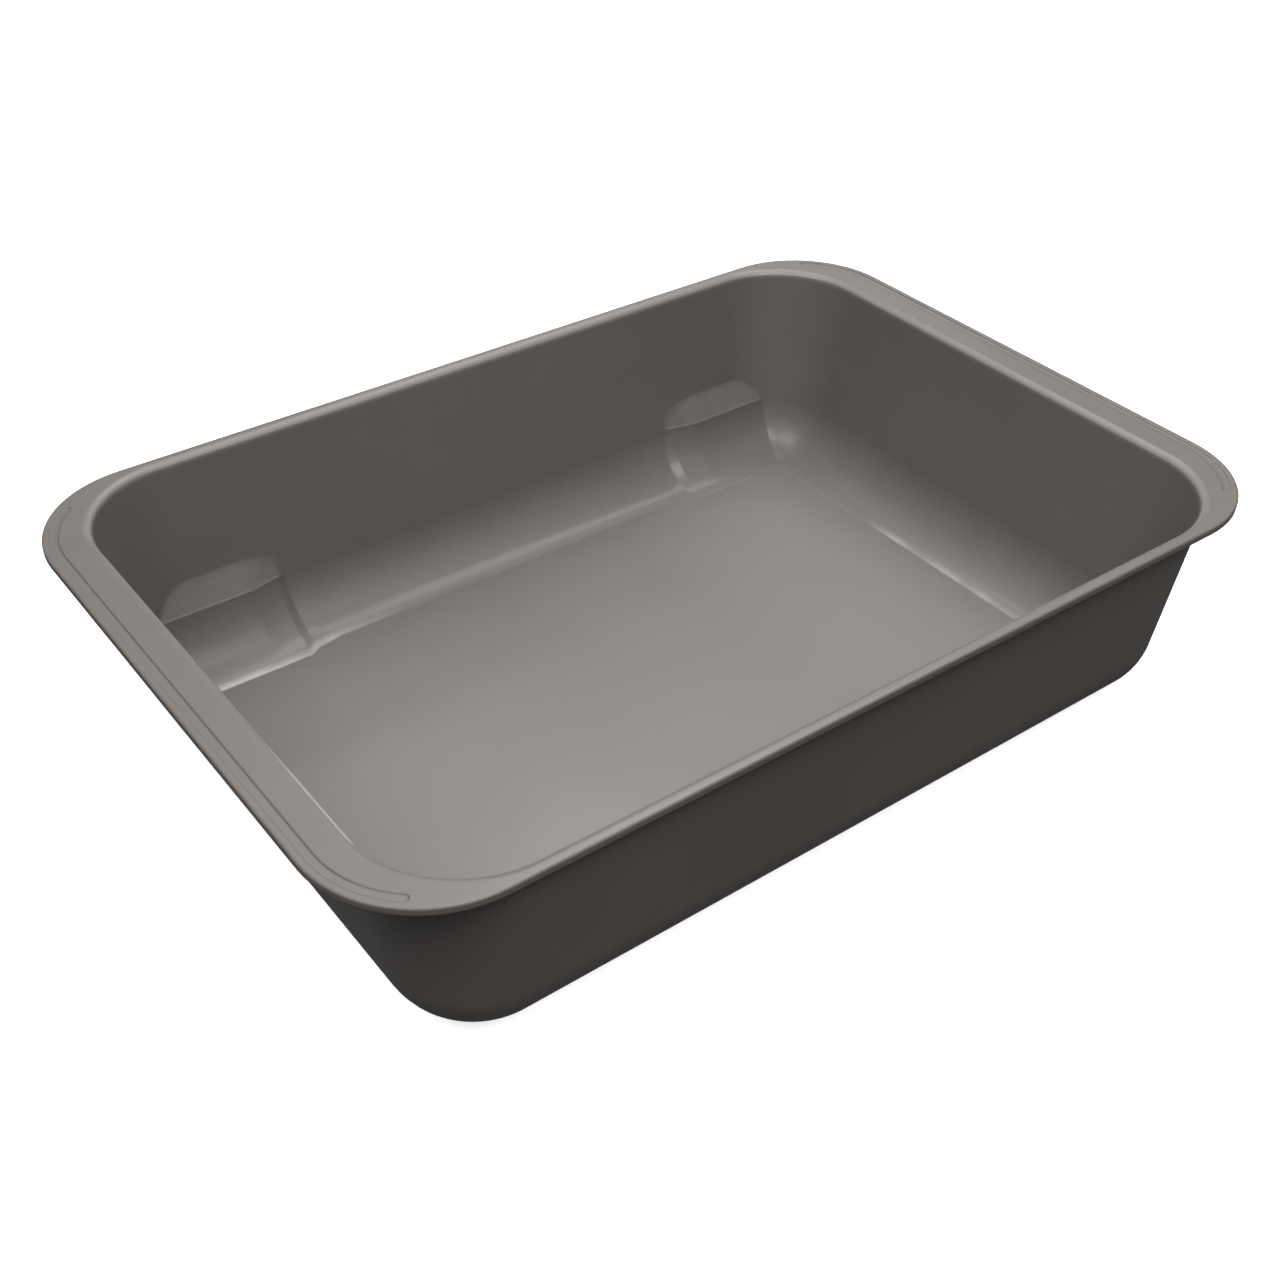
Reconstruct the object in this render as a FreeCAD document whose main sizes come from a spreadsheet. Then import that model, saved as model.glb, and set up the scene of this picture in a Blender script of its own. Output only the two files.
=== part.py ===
import FreeCAD, Part
import math
import os
import Sketcher

# Deep paint tray for a roller, moulded in one piece from grey plastic.
#
# Frame: millimetres, +Z up, X along the long side, Y across it. The origin is the middle of the
# underside, so the tray stands on Z = 0 and is symmetrical about both upright middle planes.
#
# The tray is one moulding and therefore one body. It is worked out as an outer form (flared walls,
# round bottom edge, rim plate, turned-down skirt and base panel) from which the paint well is cut.
# The well is a body of its own and carries everything that is felt from the inside: the flare, the
# round bottom, the sunk floor and the four stacking lugs, which stay as material where the well
# leaves them out.

DIMENSIONS = [
    # Overall size and rim
    ("tray_height", 90.0, "underside to top of rim"),
    ("rim_length", 402.0, "outside of rim along X"),
    ("rim_width", 277.0, "outside of rim along Y"),
    ("rim_corner_radius", 45.0, "outside corner of rim in plan"),
    ("rim_thickness", 2.2, "plate of the rim"),
    ("skirt_drop", 3.0, "lower edge of the turned-down skirt below the top of the rim"),
    ("skirt_thickness", 1.5, "thickness of the skirt"),
    ("rim_edge_radius", 0.8, "round along the outer top edge"),
    ("skirt_edge_radius", 0.4, "round along the lower edge of the skirt"),
    ("lip_radius", 3.5, "round where the rim rolls over into the well"),
    ("rim_root_radius", 0.8, "round under the rim, where it meets the wall"),
    # Walls
    ("wall_thickness", 1.8, "wall, measured level"),
    ("mouth_length", 369.2, "outside of the walls at the top, along X"),
    ("mouth_width", 269.0, "outside of the walls at the top, along Y"),
    ("mouth_corner_radius", 42.0, "outside of the walls at the top, corner in plan"),
    ("wall_flare", 0.13, "how far the walls lean out for each millimetre of height"),
    ("base_round", 27.8, "round from wall to base, outside"),
    ("well_round", 26.0, "round from wall to floor, inside"),
    # Floor
    ("floor_thickness", 2.0, "floor, measured on the base panel"),
    ("floor_lift", 0.13, "how far the floor lies above the foot of the round, which it cuts off"),
    ("panel_step", 0.4, "how far the base panel stands out of the underside"),
    ("panel_length", 296.0, "base panel along X"),
    ("panel_width", 195.4, "base panel along Y"),
    ("panel_corner_radius", 12.0, "corner of the base panel in plan"),
    ("panel_slope", 40.0, "degrees that the edge of the base panel leans out"),
    # Grip groove in each end of the rim
    ("groove_inset", 4.35, "outer edge of rim to middle of groove"),
    ("groove_width", 3.2, "width of groove"),
    ("groove_depth", 0.5, "depth of groove"),
    ("groove_wrap", 48.5, "degrees that the groove follows each corner"),
    ("groove_bottom_radius", 0.25, "round along the bottom of the groove"),
    ("groove_lip_radius", 0.2, "round along the lips of the groove"),
    # Stacking lugs, measured from the middle along X and Y and up from the underside
    ("lug_tail_x", 80.0, "where the foot of the lug begins to leave the wall"),
    ("lug_start_x", 99.8, "where the lug grows out of the wall"),
    ("lug_low_x", 104.0, "where the foot of the lug reaches its full depth"),
    ("lug_full_x", 117.0, "where the whole lug reaches its full depth"),
    ("lug_reach_x", 178.0, "end of the lug, inside the corner of the wall"),
    ("lug_back_y", 150.0, "back of the lug, outside the wall"),
    ("lug_bottom_z", -1.0, "bottom of the lug, under the floor"),
    ("seat_edge_z", 26.8, "height of the edge of the sloping seat, all along"),
    ("start_seat_top_y", 126.35, "start: top of the seat, still inside the wall"),
    ("start_seat_top_z", 38.0, "start: the same, height"),
    ("start_seat_edge_y", 124.75, "start: edge of the seat"),
    ("start_face_end_y", 124.4, "start: where the face turns into the round at the floor"),
    ("start_face_end_z", 22.6, "start: the same, height"),
    ("start_foot_y", 98.9, "start: foot on the floor"),
    ("start_foot_round", 27.2, "start: round down to the floor"),
    ("tail_foot_y", 101.9, "tail: foot on the floor"),
    ("tail_foot_round", 24.6, "tail: round down to the floor"),
    ("low_seat_top_y", 126.6, "low: top of the seat"),
    ("low_seat_top_z", 39.0, "low: the same, height"),
    ("low_seat_edge_y", 123.15, "low: edge of the seat"),
    ("low_face_end_y", 122.7, "low: where the face turns into the round at the floor"),
    ("low_face_end_z", 24.0, "low: the same, height"),
    ("low_foot_y", 96.5, "low: foot on the floor"),
    ("low_foot_round", 29.4, "low: round down to the floor"),
    ("full_seat_top_y", 127.1, "full: top of the seat"),
    ("full_seat_top_z", 41.0, "full: the same, height"),
    ("full_seat_edge_y", 120.2, "full: edge of the seat"),
    ("full_face_end_y", 119.98, "full: where the face turns into the round at the floor"),
    ("full_face_end_z", 25.2, "full: the same, height"),
    ("full_foot_y", 96.4, "full: foot on the floor"),
    ("full_foot_round", 27.2, "full: round down to the floor"),
    ("seat_edge_radius", 0.6, "round along the edge of the sloping seat"),
]


class Length:
    """A size and the spreadsheet expression that drives it."""

    def __init__(self, number, text):
        self.number = number
        self.text = text

    def __add__(self, other):
        return Length(self.number + other.number, "(%s + %s)" % (self.text, other.text))

    def __sub__(self, other):
        return Length(self.number - other.number, "(%s - %s)" % (self.text, other.text))

    def __mul__(self, factor):
        if isinstance(factor, Length):
            return Length(self.number * factor.number, "(%s * %s)" % (self.text, factor.text))
        return Length(self.number * factor, "(%s * %s)" % (self.text, factor))

    def __neg__(self):
        return self * -1


doc = FreeCAD.newDocument("RollerTray")
sheet = doc.addObject("Spreadsheet::Sheet", "Dimensions")
dim = {}
for row, (alias, value, meaning) in enumerate(DIMENSIONS, start=1):
    sheet.set("A%d" % row, meaning)
    sheet.set("B%d" % row, str(value))
    sheet.setAlias("B%d" % row, alias)
    dim[alias] = Length(value, "Dimensions." + alias)
doc.recompute()


def origin_plane(body, role):
    """The body's own XY_Plane, XZ_Plane or YZ_Plane."""
    return next(item for item in body.Origin.OriginFeatures if item.Role == role)


def new_sketch(body, name, role, height):
    """A sketch on an origin plane of the body, moved along the plane's normal by height."""
    sketch = body.newObject("Sketcher::SketchObject", name)
    sketch.AttachmentSupport = [(origin_plane(body, role), "")]
    sketch.MapMode = "FlatFace"
    sketch.AttachmentOffset = FreeCAD.Placement(
        FreeCAD.Vector(0, 0, height.number), FreeCAD.Rotation())
    sketch.setExpression("AttachmentOffset.Base.z", height.text)
    return sketch


def bind(sketch, kind, elements, size):
    """A dimension of the sketch, driven by the spreadsheet."""
    index = sketch.addConstraint(Sketcher.Constraint(kind, *elements, size.number))
    sketch.setExpression("Constraints[%d]" % index, size.text)


def outline(sketch, corners):
    """A closed outline, drawn anticlockwise. Each corner is (x, y, radius). The radius rounds the
    edge that follows the corner: above nought it bulges outward, below nought it is hollow, and
    None keeps the edge straight."""
    first = sketch.GeometryCount
    count = len(corners)
    begins = []
    for number, (x, y, radius) in enumerate(corners):
        x_next, y_next, _ = corners[(number + 1) % count]
        here = FreeCAD.Vector(x.number, y.number, 0)
        there = FreeCAD.Vector(x_next.number, y_next.number, 0)
        if radius is None:
            sketch.addGeometry(Part.LineSegment(here, there), False)
            begins.append(1)
            continue
        hollow = radius.number < 0
        if hollow:
            here, there = there, here
        half = (there - here) * 0.5
        left = FreeCAD.Vector(-half.y, half.x, 0).normalize()
        rise = max(radius.number ** 2 - half.Length ** 2, 0) ** 0.5
        centre = here + half + left * rise
        angles = [math.atan2(point.y - centre.y, point.x - centre.x) for point in (here, there)]
        circle = Part.Circle(centre, FreeCAD.Vector(0, 0, 1), abs(radius.number))
        sketch.addGeometry(Part.ArcOfCircle(circle, *angles), False)
        begins.append(2 if hollow else 1)
    for number, (x, y, radius) in enumerate(corners):
        edge = first + number
        after = (number + 1) % count
        sketch.addConstraint(Sketcher.Constraint(
            "Coincident", edge, 3 - begins[number], first + after, begins[after]))
        bind(sketch, "DistanceX", (edge, begins[number]), x)
        bind(sketch, "DistanceY", (edge, begins[number]), y)
        if radius is not None:
            bind(sketch, "Radius", (edge,), radius if radius.number > 0 else -radius)


def rounded_rectangle(sketch, length, width, radius):
    """A rounded rectangle about the middle of the sketch, drawn anticlockwise."""
    right = length * 0.5
    top = width * 0.5
    outline(sketch, [
        (right, -(top - radius), None),
        (right, top - radius, radius),
        (right - radius, top, None),
        (-(right - radius), top, radius),
        (-right, top - radius, None),
        (-right, -(top - radius), radius),
        (-(right - radius), -top, None),
        (right - radius, -top, radius),
    ])


def edges_where(feature, test):
    """Names of the feature's edges that pass the test."""
    return ["Edge%d" % (number + 1)
            for number, edge in enumerate(feature.Shape.Edges) if test(edge)]


def round_edges(body, name, base, edges, radius):
    """A fillet of the given radius along the named edges of the feature below it."""
    fillet = body.newObject("PartDesign::Fillet", name)
    fillet.Base = (base, edges)
    fillet.Radius = radius.number
    fillet.setExpression("Radius", radius.text)
    doc.recompute()
    return fillet


def loft(body, kind, name, sections):
    """A ruled loft through the sketches, in their order."""
    feature = body.newObject(kind, name)
    feature.Profile = sections[0]
    feature.Sections = sections[1:]
    feature.Ruled = True
    doc.recompute()
    return feature


def pad(body, name, sketch, length, slope=None):
    """Material from the sketch upward, growing outward at the slope if one is given."""
    feature = body.newObject("PartDesign::Pad", name)
    feature.Profile = sketch
    feature.Length = length.number
    feature.setExpression("Length", length.text)
    if slope is not None:
        feature.TaperAngle = slope.number
        feature.setExpression("TaperAngle", slope.text)
    doc.recompute()
    return feature


def pocket(body, name, sketch, depth):
    """A cut from the sketch downward."""
    feature = body.newObject("PartDesign::Pocket", name)
    feature.Profile = sketch
    feature.Length = depth.number
    feature.setExpression("Length", depth.text)
    doc.recompute()
    return feature


def mirror(body, name, features, role):
    """Copies of the features on the other side of an origin plane."""
    feature = body.newObject("PartDesign::Mirrored", name)
    feature.Originals = features
    feature.MirrorPlane = (origin_plane(body, role), [""])
    body.Tip = feature
    doc.recompute()
    return feature


def lies_level(edge, height):
    """Whether the whole edge is at one height."""
    box = edge.BoundBox
    return abs(box.ZMin - height.number) < 0.01 and abs(box.ZMax - height.number) < 0.01


def flared_form(body, name, inset, bottom, bottom_round):
    """The flared form of the walls, drawn in by inset all round, with its bottom edge rounded."""
    lean = (dim["tray_height"] - bottom) * dim["wall_flare"]
    low = new_sketch(body, name + "Bottom", "XY_Plane", bottom)
    rounded_rectangle(
        low, dim["mouth_length"] - (inset + lean) * 2, dim["mouth_width"] - (inset + lean) * 2,
        dim["mouth_corner_radius"] - (inset + lean))
    high = new_sketch(body, name + "Top", "XY_Plane", dim["tray_height"])
    rounded_rectangle(
        high, dim["mouth_length"] - inset * 2, dim["mouth_width"] - inset * 2,
        dim["mouth_corner_radius"] - inset)
    form = loft(body, "PartDesign::AdditiveLoft", name, [high, low])
    bottom_edges = edges_where(form, lambda edge: lies_level(edge, bottom))
    return round_edges(body, name + "Round", form, bottom_edges, bottom_round)


def lug_section(name, side, place, stage, foot=None):
    """A cut through a lug: seat, upright face, round down to the floor, and a back outside."""
    foot = foot or stage
    sketch = new_sketch(well, name, "YZ_Plane", dim[place] * side)
    outline(sketch, [
        (dim[foot + "foot_y"], dim["lug_bottom_z"], None),
        (dim["lug_back_y"], dim["lug_bottom_z"], None),
        (dim["lug_back_y"], dim["full_seat_top_z"], None),
        (dim[stage + "seat_top_y"], dim[stage + "seat_top_z"], None),
        (dim[stage + "seat_edge_y"], dim["seat_edge_z"], None),
        (dim[stage + "face_end_y"], dim[stage + "face_end_z"], -dim[foot + "foot_round"]),
        (dim[foot + "foot_y"], dim["floor_thickness"], None),
    ])
    return sketch


def lug(name, side):
    """One lug in the back wall. It grows out of the wall and runs on into the corner."""
    return loft(well, "PartDesign::SubtractiveLoft", name, [
        lug_section(name + "Tail", side, "lug_tail_x", "start_", "tail_"),
        lug_section(name + "Start", side, "lug_start_x", "start_"),
        lug_section(name + "Low", side, "lug_low_x", "low_"),
        lug_section(name + "Full", side, "lug_full_x", "full_"),
        lug_section(name + "Reach", side, "lug_reach_x", "full_"),
    ])


# Paint well: everything inside the tray
well = doc.addObject("PartDesign::Body", "Well")
flared_form(well, "WellForm", dim["wall_thickness"], dim["floor_thickness"] - dim["floor_lift"],
            dim["well_round"])
floor_sketch = new_sketch(well, "FloorOutline", "XY_Plane", dim["floor_thickness"])
rounded_rectangle(
    floor_sketch, dim["rim_length"], dim["rim_width"], dim["rim_corner_radius"])
pocket(well, "Floor", floor_sketch, dim["floor_thickness"])
back_lugs = [lug("LugRight", 1), lug("LugLeft", -1)]
mirror(well, "LugsFront", back_lugs, "XZ_Plane")

# Tray: outer form of the walls
tray = doc.addObject("PartDesign::Body", "Tray")
tray.Label = "tray"
no_inset = dim["wall_thickness"] * 0
flared_form(tray, "WallForm", no_inset, dim["panel_step"], dim["base_round"])

# Panel on the underside, the face that the tray stands on
foot_sketch = new_sketch(tray, "BasePanelOutline", "XY_Plane", no_inset)
rounded_rectangle(
    foot_sketch, dim["panel_length"], dim["panel_width"], dim["panel_corner_radius"])
pad(tray, "BasePanel", foot_sketch, dim["panel_step"] * 2, dim["panel_slope"])

# Rim plate and its turned-down skirt
rim_underside = dim["tray_height"] - dim["rim_thickness"]
rim_sketch = new_sketch(tray, "RimOutline", "XY_Plane", rim_underside)
rounded_rectangle(
    rim_sketch, dim["rim_length"], dim["rim_width"], dim["rim_corner_radius"])
pad(tray, "RimPlate", rim_sketch, dim["rim_thickness"])
skirt_bottom = dim["tray_height"] - dim["skirt_drop"]
skirt_sketch = new_sketch(tray, "SkirtOutline", "XY_Plane", skirt_bottom)
rounded_rectangle(
    skirt_sketch, dim["rim_length"], dim["rim_width"], dim["rim_corner_radius"])
rounded_rectangle(
    skirt_sketch,
    dim["rim_length"] - dim["skirt_thickness"] * 2,
    dim["rim_width"] - dim["skirt_thickness"] * 2,
    dim["rim_corner_radius"] - dim["skirt_thickness"])
pad(tray, "Skirt", skirt_sketch, dim["skirt_drop"])

# The paint well is cut out of the outer form
hollow = tray.newObject("PartDesign::Boolean", "Hollow")
hollow.Type = "Cut"
hollow.setObjects([well])
tray.Tip = hollow
doc.recompute()


def polar(centre, radius, angle, turn):
    """A coordinate of the point at an angle on a circle; turn is cos for X and sin for Y."""
    number = centre.number + radius.number * getattr(math, turn)(math.radians(angle.number))
    text = "(%s + %s * %s(%s * 1deg))" % (centre.text, radius.text, turn, angle.text)
    return Length(number, text)


# Grip groove: it follows each end of the rim and a part of both corners
corner_x = dim["rim_length"] * 0.5 - dim["rim_corner_radius"]
corner_y = dim["rim_width"] * 0.5 - dim["rim_corner_radius"]
outer_radius = dim["rim_corner_radius"] - dim["groove_inset"] + dim["groove_width"] * 0.5
inner_radius = outer_radius - dim["groove_width"]
outer_end_x = polar(corner_x, outer_radius, dim["groove_wrap"], "cos")
outer_end_y = polar(corner_y, outer_radius, dim["groove_wrap"], "sin")
inner_end_x = polar(corner_x, inner_radius, dim["groove_wrap"], "cos")
inner_end_y = polar(corner_y, inner_radius, dim["groove_wrap"], "sin")
groove_sketch = new_sketch(tray, "GrooveOutline", "XY_Plane", dim["tray_height"])
outline(groove_sketch, [
    (corner_x + outer_radius, -corner_y, None),
    (corner_x + outer_radius, corner_y, outer_radius),
    (outer_end_x, outer_end_y, dim["groove_width"] * 0.5),
    (inner_end_x, inner_end_y, -inner_radius),
    (corner_x + inner_radius, corner_y, None),
    (corner_x + inner_radius, -corner_y, -inner_radius),
    (inner_end_x, -inner_end_y, dim["groove_width"] * 0.5),
    (outer_end_x, -outer_end_y, outer_radius),
])
groove = pocket(tray, "Groove", groove_sketch, dim["groove_depth"])
grooves = mirror(tray, "GrooveLeft", [groove], "YZ_Plane")


def middle_of(edge):
    """The point halfway along the edge."""
    return edge.valueAt((edge.FirstParameter + edge.LastParameter) / 2)


def within(edge, length, width):
    """Whether the middle of the edge lies inside a rectangle about the middle of the tray."""
    point = middle_of(edge)
    margin = 0.01
    inside_x = abs(point.x) < length.number / 2 + margin
    return inside_x and abs(point.y) < width.number / 2 + margin


def on_outside(edge):
    """Whether the edge runs along the outside of the rim."""
    point = middle_of(edge)
    past_x = max(abs(point.x) - corner_x.number, 0)
    past_y = max(abs(point.y) - corner_y.number, 0)
    return math.hypot(past_x, past_y) > dim["rim_corner_radius"].number - 0.01


def round_level_edges(name, base, height, test, radius):
    """Round the level edges at one height that pass the test."""
    edges = edges_where(base, lambda edge: lies_level(edge, height) and test(edge))
    return round_edges(tray, name, base, edges, radius)


def is_lip(edge):
    return within(edge, dim["mouth_length"], dim["mouth_width"])


def is_groove_lip(edge):
    return not is_lip(edge) and not on_outside(edge)


def is_any(edge):
    return True


def is_seat_edge(edge):
    return abs(abs(middle_of(edge).y) - dim["full_seat_edge_y"].number) < 0.01


# Rounds, from the rim down
top = dim["tray_height"]
groove_bottom = top - dim["groove_depth"]
shape = round_level_edges("GrooveBottom", grooves, groove_bottom, is_any,
                          dim["groove_bottom_radius"])
shape = round_level_edges("GrooveLips", shape, top, is_groove_lip, dim["groove_lip_radius"])
shape = round_level_edges("Lip", shape, top, is_lip, dim["lip_radius"])
shape = round_level_edges("RimEdge", shape, top, on_outside, dim["rim_edge_radius"])
shape = round_level_edges("RimRoot", shape, rim_underside, is_lip, dim["rim_root_radius"])
shape = round_level_edges("SkirtEdge", shape, skirt_bottom, is_any, dim["skirt_edge_radius"])
shape = round_level_edges("SeatEdge", shape, dim["seat_edge_z"], is_seat_edge,
                          dim["seat_edge_radius"])

# Every feature must be sound before the tray is written out
doc.recompute()
for item in doc.Objects:
    if "Invalid" in item.State or "Error" in item.State:
        raise SystemExit("%s did not compute: %s" % (item.Label, item.State))
for item in tray.Group + well.Group + [tray]:
    if hasattr(item, "Shape") and (item.Shape.isNull() or not item.Shape.isValid()):
        raise SystemExit("%s has no sound shape" % item.Label)
if len(tray.Shape.Solids) != 1:
    raise SystemExit("the tray is not one solid")

os.makedirs("parts", exist_ok=True)
tray.Shape.exportStep("parts/tray.step")
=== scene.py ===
"""Studio scene for the deep paint tray: one moulding in warm grey satin plastic."""

import math

import bmesh
import bpy
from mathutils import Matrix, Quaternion, Vector


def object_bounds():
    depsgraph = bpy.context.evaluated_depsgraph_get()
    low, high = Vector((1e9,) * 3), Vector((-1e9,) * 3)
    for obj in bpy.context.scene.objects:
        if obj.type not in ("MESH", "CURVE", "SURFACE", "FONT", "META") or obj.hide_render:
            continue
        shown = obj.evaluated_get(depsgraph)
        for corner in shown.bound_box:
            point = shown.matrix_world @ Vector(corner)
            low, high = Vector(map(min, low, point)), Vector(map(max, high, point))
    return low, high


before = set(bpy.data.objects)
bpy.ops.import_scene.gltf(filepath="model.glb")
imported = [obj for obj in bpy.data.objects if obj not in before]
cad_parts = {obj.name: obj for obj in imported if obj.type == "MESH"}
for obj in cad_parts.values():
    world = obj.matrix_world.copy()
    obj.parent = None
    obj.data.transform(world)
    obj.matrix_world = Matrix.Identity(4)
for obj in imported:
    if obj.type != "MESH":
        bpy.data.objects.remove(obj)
cad_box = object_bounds()
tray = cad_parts["tray"]
RIM = cad_box[1].z


# ---------------------------------------------------------------- node helpers
# Sockets of the Mix node that belong to its colour mode.
MIX_FACTOR = 0
MIX_FIRST = 6
MIX_SECOND = 7
MIX_RESULT = 2


class Graph:
    """Short calls for building one material's nodes."""

    def __init__(self, name):
        self.material = bpy.data.materials.new(name)
        self.material.use_nodes = True
        self.tree = self.material.node_tree
        self.tree.nodes.clear()

    def add(self, kind, inputs=None, **settings):
        node = self.tree.nodes.new(kind)
        for key, value in settings.items():
            setattr(node, key, value)
        for key, value in (inputs or {}).items():
            self.feed(node.inputs[key], value)
        return node

    def feed(self, socket, value):
        if isinstance(value, bpy.types.NodeSocket):
            self.tree.links.new(value, socket)
        elif isinstance(value, bpy.types.Node):
            self.tree.links.new(value.outputs[0], socket)
        else:
            socket.default_value = value

    def noise(self, vector, scale, detail=2.0, rough=0.5):
        node = self.add("ShaderNodeTexNoise", {
            "Vector": vector, "Scale": scale, "Detail": detail, "Roughness": rough})
        return node.outputs["Fac"]

    def maths(self, operation, first, second=0.0):
        node = self.add("ShaderNodeMath", operation=operation)
        self.feed(node.inputs[0], first)
        self.feed(node.inputs[1], second)
        return node.outputs[0]

    def product(self, first, *others):
        for other in others:
            first = self.maths("MULTIPLY", first, other)
        return first

    def largest(self, first, *others):
        for other in others:
            first = self.maths("MAXIMUM", first, other)
        return first

    def spread(self, value, low, high, to_low, to_high):
        """The value mapped from one span to another, held at both ends."""
        node = self.add("ShaderNodeMapRange", {
            "Value": value, "From Min": low, "From Max": high,
            "To Min": to_low, "To Max": to_high})
        return node.outputs[0]

    def blend(self, factor, first, second):
        node = self.add("ShaderNodeMix", data_type="RGBA", clamp_factor=True)
        self.feed(node.inputs[MIX_FACTOR], factor)
        self.feed(node.inputs[MIX_FIRST], first)
        self.feed(node.inputs[MIX_SECOND], second)
        return node.outputs[MIX_RESULT]


# ---------------------------------------------------------------- tray plastic
BASE = (0.1075, 0.0960, 0.0878, 1.0)
BASE_PALE = (0.1200, 0.1072, 0.0980, 1.0)
# Pale colour for the painted highlights and painted light below.
PAINTED_LIGHT_PALE = (0.36, 0.34, 0.315, 1.0)
ROUGHNESS = 0.5
EDGE_SOFTNESS = 0.001

# Sizes of the moulding in metres. Heights are measured from its underside.
FLOOR_TOP = 0.002
SEAT_EDGE = 0.0268       # front edge of a lug's sloping seat
SEAT_TOP = 0.041         # where that seat meets the wall
CORNER_X = 0.1426        # axes of the well's rounded corners
CORNER_Y = 0.0925
CORNER_RADIUS = 0.0402   # inside radius of the corners at the rim
FLARE = 0.13             # outward lean of the walls, run over rise
LIP_LOW = 0.0016         # depth below the rim down to which the roll of the lip carries a painted highlight
LIP_HIGH = 0.0005

# How strongly each painted highlight or patch of painted light turns the plastic pale.
CREASE_BY_RIGHT_WALL = 0.55
CREASE_FAR_FROM_LUG = 0.04
SEAT_FACE = 0.10
SEAT_FRONT = 0.32
FLOOR_LIGHT_LEFT = 0.07
FLOOR_LIGHT_RIGHT = 0.10
LIP_BRIGHT = 0.75
LIP_FAINT = 0.24


def band(g, value, low, high, soft):
    """1 between two levels, falling to 0 over a soft distance outside each of them."""
    rise = g.spread(value, low - soft, low, 0.0, 1.0)
    fall = g.spread(value, high, high + soft, 1.0, 0.0)
    return g.product(rise, fall)


def painted_crease_highlight(g, place, x, y, z):
    """Painted highlight: a pale line where a round meets the floor, strong at one lug, weaker at
    one end wall.
    """
    above_floor = g.spread(z, FLOOR_TOP + 0.00002, FLOOR_TOP + 0.00012, 0.0, 1.0)
    foot_of_round = g.spread(z, FLOOR_TOP + 0.0002, FLOOR_TOP + 0.0009, 1.0, 0.0)
    left_lug = g.spread(x, -0.12, -0.055, 1.0, CREASE_FAR_FROM_LUG)
    right_wall = g.product(g.spread(x, 0.135, 0.145, 0.0, CREASE_BY_RIGHT_WALL),
                           g.spread(y, 0.045, 0.025, 0.0, 1.0))
    reach = g.largest(left_lug, right_wall)
    off_front_wall = g.spread(y, -0.09, -0.06, 0.0, 1.0)
    patchy = g.spread(g.noise(place, 45.0, 2.0, 0.5), 0.35, 0.6, 0.3, 1.0)
    return g.product(above_floor, foot_of_round, reach, off_front_wall, patchy)


def depth_inside_wall(g, x, y, z):
    """How far a point stands off the well's rounded, flared wall; negative outside it."""
    past_x = g.largest(g.maths("SUBTRACT", g.maths("ABSOLUTE", x), CORNER_X), 0.0)
    past_y = g.largest(g.maths("SUBTRACT", g.maths("ABSOLUTE", y), CORNER_Y), 0.0)
    squares = g.maths("ADD", g.product(past_x, past_x), g.product(past_y, past_y))
    from_axis = g.maths("SQRT", squares)
    wall = g.maths("ADD", g.product(z, FLARE), CORNER_RADIUS - FLARE * RIM)
    return g.maths("SUBTRACT", wall, from_axis)


def painted_seat_highlight(g, place, depth, z):
    """Painted light on the lug seats: the seat faces paler, with a stronger painted highlight
    along their front edges.
    """
    proud = g.spread(depth, 0.0003, 0.0009, 0.0, 1.0)
    face = band(g, z, SEAT_EDGE, SEAT_TOP, 0.0003)
    front = band(g, z, SEAT_EDGE, SEAT_EDGE + 0.0003, 0.0007)
    amount = g.largest(g.product(face, SEAT_FACE), g.product(front, SEAT_FRONT))
    patchy = g.spread(g.noise(place, 90.0, 3.0, 0.6), 0.3, 0.65, 0.5, 1.0)
    return g.product(proud, amount, patchy)


def painted_floor_light(g, x, y, z):
    """Painted light: the flat floor made faintly paler towards both ends."""
    flat = g.spread(z, FLOOR_TOP + 0.0001, FLOOR_TOP + 0.0004, 1.0, 0.0)
    left = g.product(g.spread(x, -0.03, -0.12, 0.0, FLOOR_LIGHT_LEFT),
                     g.spread(y, 0.045, 0.02, 0.0, 1.0))
    right = g.spread(x, 0.05, 0.13, 0.0, FLOOR_LIGHT_RIGHT)
    return g.product(flat, g.largest(left, right))


def painted_lip_highlight(g, depth, x, y, z):
    """Painted highlight on the roll of the lip: faint all round, bright near the front of the left
    end.
    """
    roll = band(g, z, RIM - LIP_LOW, RIM - LIP_HIGH, 0.0002)
    inner = g.spread(depth, -0.0045, -0.0035, 0.0, 1.0)
    left_end = g.spread(x, -0.170, -0.175, 0.0, 1.0)
    near_front = band(g, y, -0.092, -0.060, 0.03)
    before_corner = g.spread(y, -0.099, -0.094, 0.0, 1.0)
    bright = g.product(left_end, near_front, before_corner, LIP_BRIGHT)
    return g.product(roll, inner, g.largest(bright, LIP_FAINT))


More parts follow.
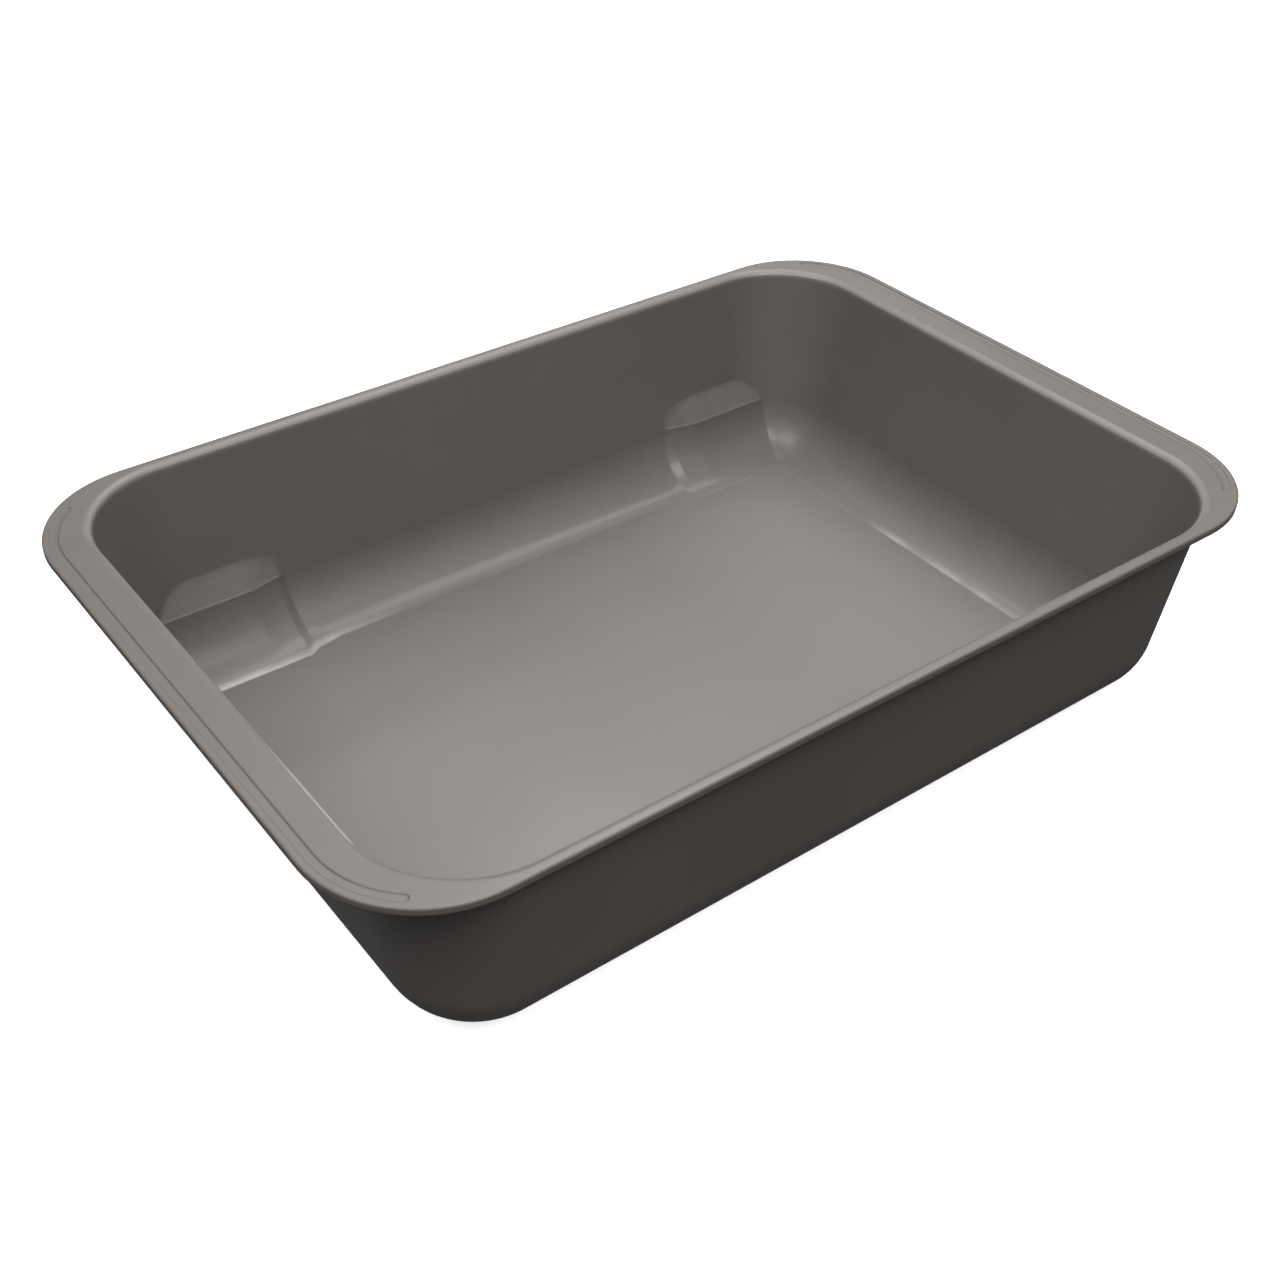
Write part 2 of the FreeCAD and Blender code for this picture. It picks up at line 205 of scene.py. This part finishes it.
def tray_plastic():
    """Warm grey polypropylene with the fine texture of a spark-eroded mould, plus painted
    highlights and painted light on the floor crease, lug seats, floor ends and lip.
    """
    g = Graph("tray_plastic")
    place = g.add("ShaderNodeTexCoord").outputs["Object"]
    x, y, z = g.add("ShaderNodeSeparateXYZ", {"Vector": place}).outputs
    flow = g.noise(place, 7.0, 3.0)
    mottle = g.noise(place, 60.0, 4.0, 0.6)
    grain = g.noise(place, 2600.0, 2.0, 0.6)
    ripple = g.noise(place, 22.0, 1.0, 0.4)

    tone = g.maths("ADD", g.product(flow, 0.7), g.product(mottle, 0.3))
    base_tone = g.blend(g.spread(tone, 0.35, 0.65, 0.0, 1.0), BASE, BASE_PALE)
    depth = depth_inside_wall(g, x, y, z)
    # Painted highlights and painted light on the floor crease, lug seats, floor ends and lip,
    # mixed into the colour.
    pale = g.largest(painted_crease_highlight(g, place, x, y, z), painted_seat_highlight(g, place, depth, z),
                     painted_floor_light(g, x, y, z), painted_lip_highlight(g, depth, x, y, z))
    colour = g.blend(pale, base_tone, PAINTED_LIGHT_PALE)
    rough = g.maths("ADD", g.spread(mottle, 0.3, 0.7, ROUGHNESS - 0.03, ROUGHNESS + 0.03),
                    g.spread(grain, 0.3, 0.7, -0.02, 0.02))

    softened = g.add("ShaderNodeBevel", {"Radius": EDGE_SOFTNESS}, samples=6)
    fine = g.add("ShaderNodeBump", {
        "Strength": 0.25, "Distance": 0.00004, "Height": grain, "Normal": softened})
    wavy = g.add("ShaderNodeBump", {
        "Strength": 0.3, "Distance": 0.0004, "Height": ripple, "Normal": fine})
    shader = g.add("ShaderNodeBsdfPrincipled", {
        "Base Color": colour, "Roughness": rough, "Normal": wavy, "Coat Normal": wavy})
    shader.inputs["IOR"].default_value = 1.49
    shader.inputs["Specular IOR Level"].default_value = 0.42
    shader.inputs["Coat Weight"].default_value = 0.16
    shader.inputs["Coat Roughness"].default_value = 0.16
    shader.inputs["Coat IOR"].default_value = 1.5
    g.add("ShaderNodeOutputMaterial", {"Surface": shader})
    return g.material


tray.data.materials.clear()
tray.data.materials.append(tray_plastic())


# ---------------------------------------------------------------- floor and light
WHITE = (1.0, 1.0, 1.0, 1.0)
FLOOR_HALF = 6.0
FLOOR_GLOW = 0.75
BACKDROP_RADIUS = 5.9
BACKDROP_HEIGHT = 12.0
BACKDROP_GLOW = 0.86
WORLD_GLOW = 0.108
DOME_RADIUS = 1.8
BOX_SIDE = 0.9


def floor_material():
    g = Graph("studio_floor")
    place = g.add("ShaderNodeTexCoord").outputs["Object"]
    haze = g.spread(g.noise(place, 3.0, 2.0), 0.3, 0.7, 0.0, 1.0)
    colour = g.blend(haze, (0.86, 0.86, 0.86, 1.0), (0.88, 0.88, 0.88, 1.0))
    shader = g.add("ShaderNodeBsdfPrincipled", {
        "Base Color": colour, "Roughness": 0.9,
        "Emission Color": WHITE, "Emission Strength": FLOOR_GLOW})
    g.add("ShaderNodeOutputMaterial", {"Surface": shader})
    return g.material


def studio_floor():
    """Pale floor that glows for the camera but throws no light on the tray."""
    near, far = -FLOOR_HALF, FLOOR_HALF
    mesh = bpy.data.meshes.new("studio_floor")
    mesh.from_pydata([(near, near, 0), (far, near, 0), (far, far, 0), (near, far, 0)], [],
                     [(0, 1, 2, 3)])
    floor = bpy.data.objects.new("studio_floor", mesh)
    floor.data.materials.append(floor_material())
    bpy.context.scene.collection.objects.link(floor)
    floor.visible_diffuse = False
    floor.visible_glossy = False


def backdrop():
    """Pale round wall behind the floor. Only the camera sees it, so it changes no light."""
    g = Graph("backdrop")
    glow = g.add("ShaderNodeEmission", {"Color": WHITE, "Strength": BACKDROP_GLOW})
    g.add("ShaderNodeOutputMaterial", {"Surface": glow})
    shell = bmesh.new()
    bmesh.ops.create_cone(shell, segments=96, radius1=BACKDROP_RADIUS, radius2=BACKDROP_RADIUS,
                          depth=BACKDROP_HEIGHT, cap_ends=False)
    mesh = bpy.data.meshes.new("backdrop")
    shell.to_mesh(mesh)
    shell.free()
    mesh.materials.append(g.material)
    wall = bpy.data.objects.new("backdrop", mesh)
    wall.visible_diffuse = False
    wall.visible_glossy = False
    wall.visible_transmission = False
    wall.visible_shadow = False
    bpy.context.scene.collection.objects.link(wall)


def even_light():
    """Weak white light from all round."""
    world = bpy.data.worlds.new("studio")
    bpy.context.scene.world = world
    world.use_nodes = True
    background = world.node_tree.nodes["Background"]
    background.inputs["Color"].default_value = WHITE
    background.inputs["Strength"].default_value = WORLD_GLOW


def soft_box(name, bearing, height, power):
    """A square soft box on a dome round the tray; bearing 0 is behind it, angles in degrees."""
    turn, lift = math.radians(bearing), math.radians(height)
    place = Vector((math.sin(turn) * math.cos(lift), math.cos(turn) * math.cos(lift),
                    math.sin(lift))) * DOME_RADIUS
    light = bpy.data.lights.new(name, "AREA")
    light.shape = "RECTANGLE"
    light.size = BOX_SIDE
    light.size_y = BOX_SIDE
    light.energy = power
    lamp = bpy.data.objects.new(name, light)
    lamp.location = place
    lamp.rotation_mode = "QUATERNION"
    lamp.rotation_quaternion = (-place).to_track_quat("-Z", "Y")
    bpy.context.scene.collection.objects.link(lamp)


studio_floor()
backdrop()
even_light()
soft_box("behind_right", 50, 60, 21.0)
soft_box("behind", 0, 60, 3.6)
soft_box("front", 190, 60, 24.5)
soft_box("left", 268, 60, 16.5)
soft_box("low_behind", 38, 35, 3.3)
soft_box("low_left", 240, 35, 1.4)


# ---------------------------------------------------------------- camera
# The camera looks at a point level with the rim, from the front left and above.
TARGET = Vector((-0.05747, -0.06746, RIM))
AZIMUTH = math.radians(-37.143)
ELEVATION = math.radians(37.405)
ROLL = math.radians(0.638)
DISTANCE = 0.57327
FOCAL_PER_WIDTH = 1.32302
SENSOR_WIDTH = 36.0

camera_data = bpy.data.cameras.new("camera")
camera_data.sensor_width = SENSOR_WIDTH
camera_data.lens = SENSOR_WIDTH * FOCAL_PER_WIDTH
camera_data.clip_start = 0.01
camera = bpy.data.objects.new("camera", camera_data)
back = Vector((math.sin(AZIMUTH) * math.cos(ELEVATION),
               -math.cos(AZIMUTH) * math.cos(ELEVATION), math.sin(ELEVATION)))
camera.location = TARGET + back * DISTANCE
camera.rotation_mode = "QUATERNION"
camera.rotation_quaternion = (-back).to_track_quat("-Z", "Y") @ Quaternion((0, 0, 1), ROLL)
bpy.context.scene.collection.objects.link(camera)
bpy.context.scene.camera = camera

bpy.context.scene.view_settings.view_transform = "Standard"
